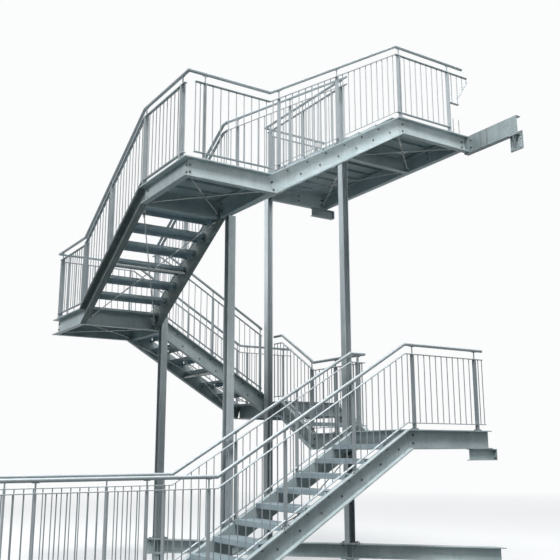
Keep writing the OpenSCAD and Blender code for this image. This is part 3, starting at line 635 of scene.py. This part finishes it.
# ---------------------------------------------------------------- railings
def runs():
    """(side, u and z at the start, slope, post places from the start, handrail's lift).

    One line for each railing of part.scad that stands on posts.
    """
    walk = Y1N - K_LOW - Y_END - IN_SET
    span = walk - WALK_FIRST - WALK_LAST
    gaps = max(1, round(span / WALK_BAY))
    walk_posts = [WALK_FIRST + i * span / gaps for i in range(gaps + 1)] + [walk - 100]
    f1, f3, f4, f5 = (RISERS[i] * GOING for i in (0, 2, 3, 4))
    f3_inner = RUN[2] + K_TOP
    f5_cut = Y4B - IN_SET - Y5N + K_LOW
    f5_inner = f5 - f5_cut - K_TOP + IN_SET
    l1_right = YW - Y1 - K_TOP
    l1_front = XL1 + IN_SET - X2N - K_LOW
    l2_left = YW - Y3N - K_LOW
    l3_left = Y3 - K_TOP - IN_SET
    l4_front = -X4 - K_TOP - IN_SET
    l5_right = YW - 240 - Y5 - K_TOP
    l5_front = -STAIR_W - X5
    l5_left = YW - Y5 - IN_SET
    return [
        (right(XR1), Y_END + IN_SET, Z0, 0, walk_posts, 0),
        (left(XL1), Y_END + IN_SET, Z0, 0, walk_posts, 0),
        (right(XR1), Y1N - K_LOW, Z0, SLOPE, [0.32 * f1, 0.685 * f1], 0),
        (left(XL1), Y1N - K_LOW, Z0, SLOPE, [0.32 * f1, 0.66 * f1], 0),
        (right(XR1), Y1 + K_TOP, Z1, 0, [125, l1_right - 150], 0),
        (left(XL1), Y1 + K_TOP, Z1, 0, [110], 0),
        (front(YB), X2N + K_LOW, Z1, 0, [560, l1_front - 130], 0),
        (front(YB, -1), -X2N - K_LOW, Z1, SLOPE, [50], 0),
        (left(X_OUT), Y3N + K_LOW, Z2, 0, [150, l2_left - 180], 0),
        (left(X_OUT, -1), -Y3N - K_LOW, Z2, SLOPE, [60, 0.5 * f3], 0),
        (right(X3R, -1), -Y3N, Z2 + SLOPE * K_LOW, SLOPE, [30, 0.5 * f3_inner], 0),
        (right(X3R, -1), K_TOP - Y3, Z3, 0, [50], 0),
        (left(X_OUT), IN_SET, Z3, 0, [170, l3_left - 60], 0),
        (front(0), X_OUT + IN_SET, Z3, 0, [170], 0),
        (front(0), X4N - K_LOW, Z3, SLOPE, [60, 0.49 * f4], 0),
        (back(Y4B), X4N - K_LOW, Z3, SLOPE, [60, 0.49 * f4], 0),
        (front(0), X4 + K_TOP, Z4, 0, [60, l4_front - 165], 0),
        (right(0), IN_SET, Z4, 0, [215], 0),
        (right(0), Y5N - K_LOW, Z4, SLOPE, [133, 0.5 * f5], 0),
        (left(-STAIR_W), Y5N - K_LOW + f5_cut, Z4 + SLOPE * f5_cut, SLOPE,
         [160, 0.5 * f5_inner], SLOPE * (K_TOP - IN_SET)),
        (right(0), Y5 + K_TOP, Z5, 0, [60, l5_right - 15], 0),
        (front(Y5), X5 + IN_SET, Z5, 0, [170, l5_front / 2, l5_front - 130], 0),
        (left(X5), Y5 + IN_SET, Z5, 0, [170, l5_left - 180], 0),
    ]


# railing post's foot plate: thickness, and half the way between its bolts along and across;
# its two welds: the way from the middle, and half their length
RAIL_FOOT_T, FOOT_BOLTS, WELD_U, WELD_V = 8, (28, 23), 7.5, 30
SADDLE = slab(-34, 34, -11, 11, -3, 3, 1.2)
COLLAR = rings([(13, 0), (11.5, 3), (9.2, 6)], 16)


def railing_feet():
    """Foot bolts and welds of each railing post, the saddle and the collar on its top."""
    bolts, welds, saddles = Batch(), Batch(), Batch()
    for side, u0, z0, slope, posts, lift in runs():
        tilt = Vector((side.along.x, side.along.y, slope)).normalized()
        up = side.out.cross(tilt)
        up = up if up.z > 0 else -up
        top = RAIL_FOOT_T / math.cos(math.atan(slope))
        for p in posts:
            for du, dv in corners(*FOOT_BOLTS):
                z = z0 + slope * (p + du) + top - 0.3
                bolt(bolts, side.at(u0 + p + du, IN_SET + dv, z), up, M10)
            for du in (-WELD_U, WELD_U):
                z = z0 + slope * (p + du) + top
                a, b = (side.at(u0 + p + du, IN_SET + dv, z) for dv in (-WELD_V, WELD_V))
                bead(welds, a, b, 3.0)
            hand = side.at(u0 + p, IN_SET, z0 + slope * p + lift + HAND_C)
            saddles.add(*SADDLE, axes(hand - up * (HAND_D / 2 + 2.0) / 1000, tilt, up))
            collar = side.at(u0 + p, IN_SET, z0 + slope * p + lift + TOP_C + 6)
            welds.add(*COLLAR, look(collar, UP), True)
    bolts.piece("railing_foot_bolts", BOLT, "railings")
    welds.piece("railing_foot_welds", WELD, "railings")
    saddles.piece("handrail_saddles", MAT["railings"], "railings")


def handrail_caps():
    """Domed caps on free ends: the walkway, the wall, the cut-away railing and post 3."""
    batch = Batch()
    r = HAND_D / 2 - 0.2
    dome = [(r, -3)] + [(r * math.cos(a), 6 * math.sin(a)) for a in (0.0, 0.4, 0.8, 1.15, 1.4)]
    ends = [
        (right(XR1), Y_END + IN_SET, Z0, -1), (left(XL1), Y_END + IN_SET, Z0, -1),
        (right(XR1), YW, Z1, 1), (left(X_OUT), YW, Z2, 1), (left(X5), YW, Z5, 1),
        (right(0), YW + 54, Z5, 1), (front(YB, -1), -P3[0], Z2, 1),
    ]
    for side, u, z, d in ends:
        place = look(side.at(u, IN_SET, z + HAND_C), side.along * d)
        batch.add(*rings(dome, 32), place, True)
    batch.piece("handrail_caps", MAT["railings"], "railings")


# ---------------------------------------------------------------- bracing ends
# how far the rods lie under a deck, and under a stringer's top edge, in mm
DECK_ROD, FLIGHT_ROD = 200, CH_H - 26
# in metres: a fork's pin from its corner, and a turnbuckle from the middle or the lower end
PIN, BUCKLE = 0.075, 0.30


def clevis(batch, bolts, pin, along, plate_n):
    """A fork on a rod's end, with its pin and the plate that it holds, which faces plate_n."""
    along = Vector(along).normalized()
    n = Vector(plate_n).normalized()
    n = (n - along * n.dot(along)).normalized()
    m = axes(pin, along, n)
    # the fork's two cheeks, its root, the plate between the cheeks, the socket of the rod
    for s in (-1, 1):
        batch.add(*slab(-16, 44, -15, 15, s * 9 - 3, s * 9 + 3, 1.2), m)
    batch.add(*slab(40, 56, -15, 15, -12, 12, 2.5), m)
    batch.add(*slab(-62, 18, -22, 22, -4, 4, 1.0), m)
    batch.add(*rings([(12, 56), (12, 70), (10, 84)], 12), look(pin, along))
    bolt(bolts, Vector(pin) + n * 0.012, n, M14, 24)


def turnbuckle(batch, centre, along):
    """Two end nuts with the two bars between them, and a lock nut at each end."""
    m = look(centre, along)
    for z0, z1 in ((-78, -52), (52, 78)):
        batch.add(*rings([(9, z0), (13, z0 + 4), (13, z1 - 4), (9, z1)], 6), m)
    verts, faces = rings([(3.6, -56), (4.2, -50), (4.2, 50), (3.6, 56)], 8)
    for s in (-1, 1):
        batch.add([(x + s * 9.5, y, z) for x, y, z in verts], faces, m, True)
    for z in (-92, 84):
        batch.add(*rings([(11.5, z), (11.5, z + 8)], 6), m)


def landing_crosses(forks, bolts):
    """A fork at each corner, two nuts at the ring in the middle, and one turnbuckle."""
    ring_nut = rings([(12, -6), (12, 6)], 6)
    frames = [
        (X5 + CH_B, Y5 + CH_B, X5M - CH_B, YW - CH_B, Z5),
        (X5M, Y5 + CH_B, -CH_B, YW - CH_B, Z5),
        (X4 + CH_B, CH_B, -CH_B, Y4B - CH_B, Z4),
        (X_OUT + CH_B, CH_B, X3E - CH_B, Y3 - CH_B, Z3),
        (X_OUT + CH_B, YB + CH_B, X2 - CH_B, YW - CH_B, Z2),
        (X1E + CH_B, YB + CH_B, XR1 - CH_B, YW - CH_B, Z1),
    ]
    for x0, y0, x1, y1, z in frames:
        c = at((x0 + x1) / 2, (y0 + y1) / 2, z - DECK_ROD)
        for k, (x, y) in enumerate(((x0, y0), (x1, y0), (x1, y1), (x0, y1))):
            p = at(x, y, z - DECK_ROD)
            d = (c - p).normalized()
            clevis(forks, bolts, p + d * PIN, d, UP)
            ring = c - d * 0.050
            for off in (-0.008, 0.022):
                forks.add(*ring_nut, look(ring + d * off, d))
            if k == 1:
                turnbuckle(forks, c - d * BUCKLE, d)


def rod_end(flight, side, u):
    """Where a rod meets the inside of a stringer."""
    z = flight.low + SLOPE * (u - flight.first + K_LOW) - FLIGHT_ROD / math.cos(ANG)
    return side.at(u, CH_B, z)


def flight_crosses(forks, bolts):
    """The ends and turnbuckles of the two crossed rods under each flight but the second."""
    for flight in FLIGHTS:
        if flight.name == "2":
            continue
        outer, inner = flight.outer, flight.inner
        low, high = flight.first - 110, flight.last + (-30 if flight.name in CUT_HEAD else 30)
        normal = Vector((outer.along.x, outer.along.y, SLOPE)).cross(outer.out)
        for a, b in ((outer, inner), (inner, outer)):
            p, q = rod_end(flight, a, low), rod_end(flight, b, high)
            d = (q - p).normalized()
            clevis(forks, bolts, p + d * PIN, d, normal)
            clevis(forks, bolts, q - d * PIN, -d, normal)
            turnbuckle(forks, p + (q - p) * BUCKLE, d)


def brace_ends():
    forks, bolts = Batch(), Batch()
    landing_crosses(forks, bolts)
    flight_crosses(forks, bolts)
    forks.piece("rod_ends", MAT["rods"], "rods")
    bolts.piece("rod_pins", BOLT, "rods")


# ---------------------------------------------------------------- feet, caps and plates
def ground_anchors():
    """Four anchors through each foot plate of the posts and of the walkway's legs."""
    batch = Batch()
    for x, y in (P1, P2, P3, P4):
        for dx, dy in corners(ANCHOR_S / 2):
            anchor(batch, at(x + dx, y + dy, PLATE_T))
    bays = max(1, round(WALK_L / WALK_BAY))
    bay = (WALK_L - 200) / bays
    for i in range(bays + 1):
        for x in (XL1 + 70, XR1 - 70):
            for dx, dy in corners((ANCHOR_S - 40) / 2):
                anchor(batch, at(x + dx, Y_END + 100 + i * bay + dy, PLATE_T))
    batch.piece("ground_anchors", BOLT, "posts")


# height of the welded joint in post 2
POST_2_JOINT = 2785


def post_bolts():
    """Bolts under the landings' beams and on the base beam, and welds at the posts' feet."""
    batch, welds = Batch(), Batch()
    for (x, y), z in ((P2, Z4 - CH_H), (P3, Z5 - CH_H), (P4, Z5 - CH_H), (P1, Z3 - 50)):
        for dx, dy in corners(30):
            bolt(batch, at(x + dx, y + dy, z - PLATE_T), DOWN, M12)
    c, s = math.cos(BEAM_A), math.sin(BEAM_A)
    foot = BEAM_TOP + PLATE_T
    for x, y in (P1, P4):
        for du, dv in corners(90, 55):
            place = at(x + du * c - dv * s, y + du * s + dv * c, foot)
            bolt(batch, place, UP, M14, PLATE_T + BEAM_FLANGE)
    h = POST_B / 2 + 0.5
    square = ((-h, -h), (h, -h), (h, h), (-h, h))
    # the two edges along the flanges, which face along x or along y
    for (x, y), z, flanges_x in ((P1, foot, True), (P4, foot, False), (P2, PLATE_T, True),
                                 (P3, PLATE_T, False), (P2, POST_2_JOINT, True)):
        for (ax, ay), (bx, by) in zip(square, square[1:] + square[:1]):
            if (ax == bx) == flanges_x:
                bead(welds, at(x + ax, y + ay, z), at(x + bx, y + by, z), 3.4)
    batch.piece("post_bolts", BOLT, "posts")
    welds.piece("post_welds", WELD, "posts")


def wall_fasteners():
    """Seams and bolts of the wall beam, its wall plate's anchors, and the consoles' bolts."""
    bolts, welds, anchors = Batch(), Batch(), Batch()
    face = Y_WALL - CH_B
    low = Z5 - LEDGER_H
    for x in SEAM_X:
        bead(welds, at(x, face - 0.5, low + 5), at(x, face - 0.5, Z5 - 5), 2.6)
    for dz in (80, 190):
        bolt(bolts, at(48, face, Z5 - dz), FRONT, M14)
    plate = LEDGER_L - 80
    for x in (plate - 80, plate + 80):
        for dz in (190, 60):
            bolt(anchors, at(x, Y_WALL - 20, low - dz), FRONT, M12)
    for x, z in ((XR1 - 60, Z1), (X5 + 60, Z5)):
        for dx in (-35, 35):
            for dz in (30, CONSOLE_H - 30):
                place = at(x + dx, Y_WALL - 12, z - CH_H - CONSOLE_H + dz)
                bolt(bolts, place, FRONT, M14)
    bolts.piece("wall_bolts", BOLT, "wall_steel")
    anchors.piece("wall_plate_anchors", WELD, "wall_steel")
    welds.piece("wall_beam_seams", WELD, "wall_steel")


# distance between nosing studs in a row, and of the two rows from the front edge, in mm
STUD_GAP, STUD_ROWS = 32, (22, 44)


def nosing_studs():
    """Two rows of small raised studs along the front edge of each tread."""
    dot = rings([(5.0, -0.4), (4.6, 0.5), (3.4, 1.4), (1.6, 1.9)], 8)
    for flight in FLIGHTS:
        batch = Batch()
        width = TREAD_W if flight.name != "4" else Y4B - 2 * CH_B
        count = int(width // STUD_GAP)
        for u, z in flight.nosings():
            for row, du in enumerate(STUD_ROWS):
                for j in range(count):
                    w = (j + 0.5 + 0.5 * row) * width / (count + 0.5)
                    batch.add(*dot, look(flight.outer.at(u + du, CH_B + w, z), UP), True)
        batch.piece(f"nosing_studs_{flight.name}", MAT["treads"], "treads")


# the order matters: heads and beads draw from one row of random numbers
tread_bolts()
kink_seams()
corner_bolts()
railing_feet()
handrail_caps()
brace_ends()
ground_anchors()
post_bolts()
wall_fasteners()
nosing_studs()


# ---------------------------------------------------------------- floor, light and camera
BACKDROP = (0.97, 0.975, 0.98, 1)
FLOOR_R, FLOOR_SIDES, FLOOR_Z = 120.0, 64, -0.001
# the floor's colour where it is seen, and where it only throws light back on the stair
FLOOR_PALE, FLOOR_DIM = (0.80, 0.80, 0.80), (0.08, 0.108, 0.113)
# metres from the middle between which the floor fades into the backdrop
FADE_FROM, FADE_TO = 9.0, 30.0
NEUTRAL, COOL = (1.0, 1.0, 0.99), (0.97, 0.99, 1.0)
# the camera, fitted to the photograph: place in metres, yaw, pitch and roll in degrees
CAM_PLACE = (9.6105, -4.6428, 1.8193)
CAM_ANGLES = (57.173, 12.319, -0.121)
# focal length and width of the photograph in pixels, sensor in millimetres
FOCAL_PX, PHOTO_PX, SENSOR = 789.985, 560, 36


def floor():
    mat, g, shader = blank("floor")
    mesh = bpy.data.meshes.new("floor")
    turns = [2 * math.pi * i / FLOOR_SIDES for i in range(FLOOR_SIDES)]
    edge = [(FLOOR_R * math.cos(a), FLOOR_R * math.sin(a), FLOOR_Z) for a in turns]
    mesh.from_pydata(edge, [], [tuple(range(FLOOR_SIDES))])
    obj = bpy.data.objects.new("floor", mesh)
    bpy.context.scene.collection.objects.link(obj)
    away = g.node("ShaderNodeVectorMath", operation="LENGTH")
    g.link(g.node("ShaderNodeTexCoord").outputs["Object"], away.inputs[0])
    seen = g.backdrop_seen()
    g.link(g.mix(seen, FLOOR_DIM, FLOOR_PALE), shader.inputs["Base Color"])
    shader.inputs["Roughness"].default_value = 0.9
    shader.inputs["Specular IOR Level"].default_value = 0.0
    white = g.node("ShaderNodeEmission")
    white.inputs["Color"].default_value = BACKDROP
    far = g.span(away.outputs["Value"], FADE_FROM, FADE_TO, 0.0, 1.0)
    fade = g.blend_shaders(g.math("MULTIPLY", far, seen), shader.outputs[0], white.outputs[0])
    g.link(fade, mat.node_tree.nodes["Material Output"].inputs["Surface"])
    mesh.materials.append(mat)


def sky():
    """Light that grows from the horizon upwards, and the pale backdrop where it is seen."""
    world = bpy.data.worlds.new("studio")
    bpy.context.scene.world = world
    world.use_nodes = True
    world.node_tree.nodes.clear()
    g = Graph(world.node_tree)
    height = g.split(g.node("ShaderNodeTexCoord").outputs["Generated"])[2]
    light = g.node("ShaderNodeBackground")
    light.inputs["Color"].default_value = (0.95, 0.98, 1.0, 1)
    g.link(g.span(height, 0.0, 0.65, 0.05, 0.90), light.inputs["Strength"])
    white = g.node("ShaderNodeBackground")
    white.inputs["Color"].default_value = BACKDROP
    white.inputs["Strength"].default_value = 1.0
    both = g.blend_shaders(g.backdrop_seen(), light.outputs[0], white.outputs[0])
    g.link(both, g.node("ShaderNodeOutputWorld").inputs["Surface"])


def area(name, place, target, size, power, tint, spread=180):
    """A round lamp at place that shines at target: metres, watts and degrees."""
    lamp = bpy.data.lights.new(name, "AREA")
    lamp.spread = math.radians(spread)
    lamp.shape = "DISK"
    lamp.size = size
    lamp.energy = power
    lamp.color = tint
    obj = bpy.data.objects.new(name, lamp)
    obj.location = place
    obj.rotation_mode = "QUATERNION"
    obj.rotation_quaternion = (Vector(target) - Vector(place)).to_track_quat("-Z", "Y")
    bpy.context.scene.collection.objects.link(obj)


def camera():
    yaw, pitch, roll = (math.radians(a) for a in CAM_ANGLES)
    ahead = Vector((-math.sin(yaw) * math.cos(pitch), math.cos(yaw) * math.cos(pitch),
                    math.sin(pitch)))
    level = Vector((math.cos(yaw), math.sin(yaw), 0))
    steep = level.cross(ahead)
    across = level * math.cos(roll) + steep * math.sin(roll)
    up = -level * math.sin(roll) + steep * math.cos(roll)
    data = bpy.data.cameras.new("camera")
    data.sensor_width = SENSOR
    data.lens = SENSOR * FOCAL_PX / PHOTO_PX
    data.clip_end = 400
    cam = bpy.data.objects.new("camera", data)
    bpy.context.scene.collection.objects.link(cam)
    rows = [[across[i], up[i], -ahead[i], CAM_PLACE[i]] for i in range(3)]
    cam.matrix_world = Matrix(rows + [[0, 0, 0, 1]])
    bpy.context.scene.camera = cam


floor()
sky()
area("key", (9, -2, 17), (1, 1.5, 6), 5, 2700, NEUTRAL)
area("side", (9.5, 2.0, 5.2), (1.5, 1.5, 6.3), 2.5, 28, NEUTRAL, spread=60)
area("fill", (-6, -12, 13), (-1, 0, 5), 7, 1650, COOL)
camera()
bpy.context.scene.view_settings.view_transform = "Standard"
